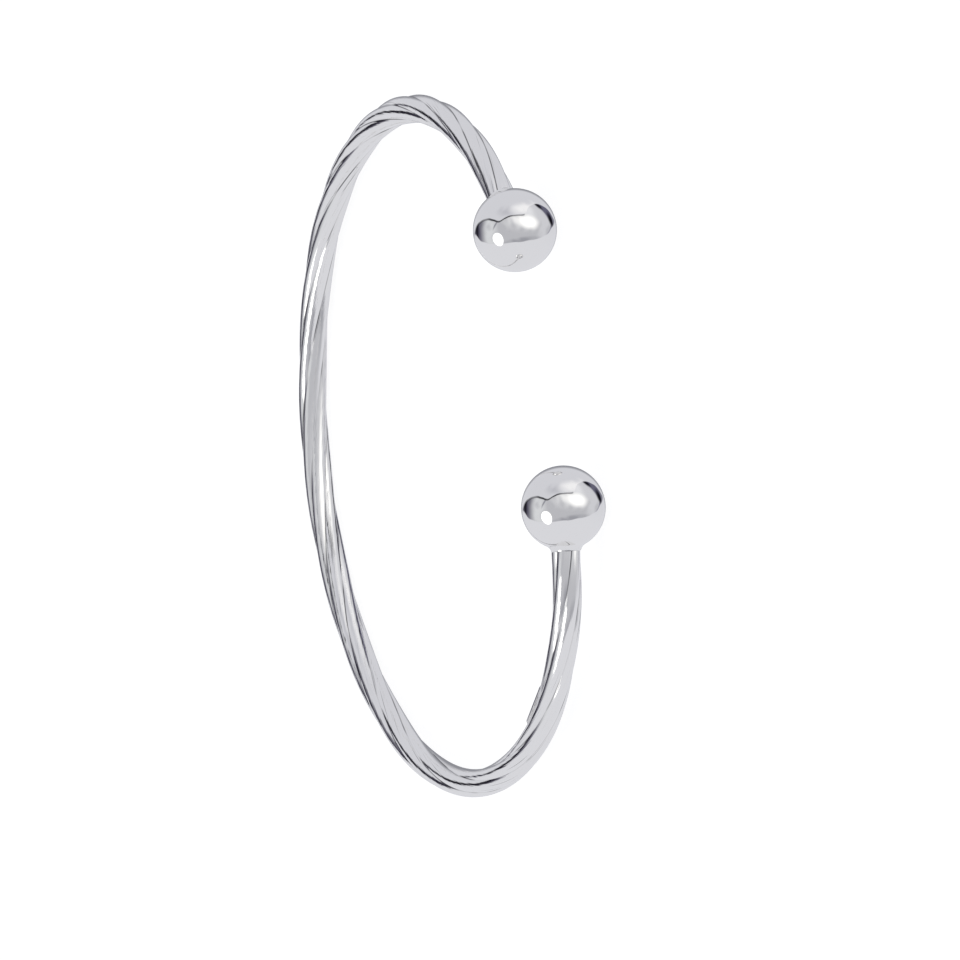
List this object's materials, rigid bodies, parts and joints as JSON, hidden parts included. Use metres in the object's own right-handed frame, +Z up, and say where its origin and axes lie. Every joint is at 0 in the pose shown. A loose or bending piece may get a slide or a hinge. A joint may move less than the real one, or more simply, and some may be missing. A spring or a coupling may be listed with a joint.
{
  "type": "open torque bangle",
  "caption": "Open oval bangle of right-hand twisted fluted wire with a plain polished ball on each end and a small bare tag inside.",
  "frame": {"origin": "bottom centre of the bounding box, on the surface that the bangle lies on", "axes": "+Z up out of the surface, X along the oval's long axis, the opening between the balls faces -Y and the back of the wire is at +Y"},
  "size_m": [0.0706, 0.0595, 0.0081],
  "materials": {
    "twisted_silver": "polished silver wire with fine drawn lines along the flutes",
    "ball_silver": "mirror-polished silver"
  },
  "bodies": {
    "root": {"band": "twisted_silver", "ball_right": "ball_silver", "ball_left": "ball_silver"}
  },
  "joints": []
}
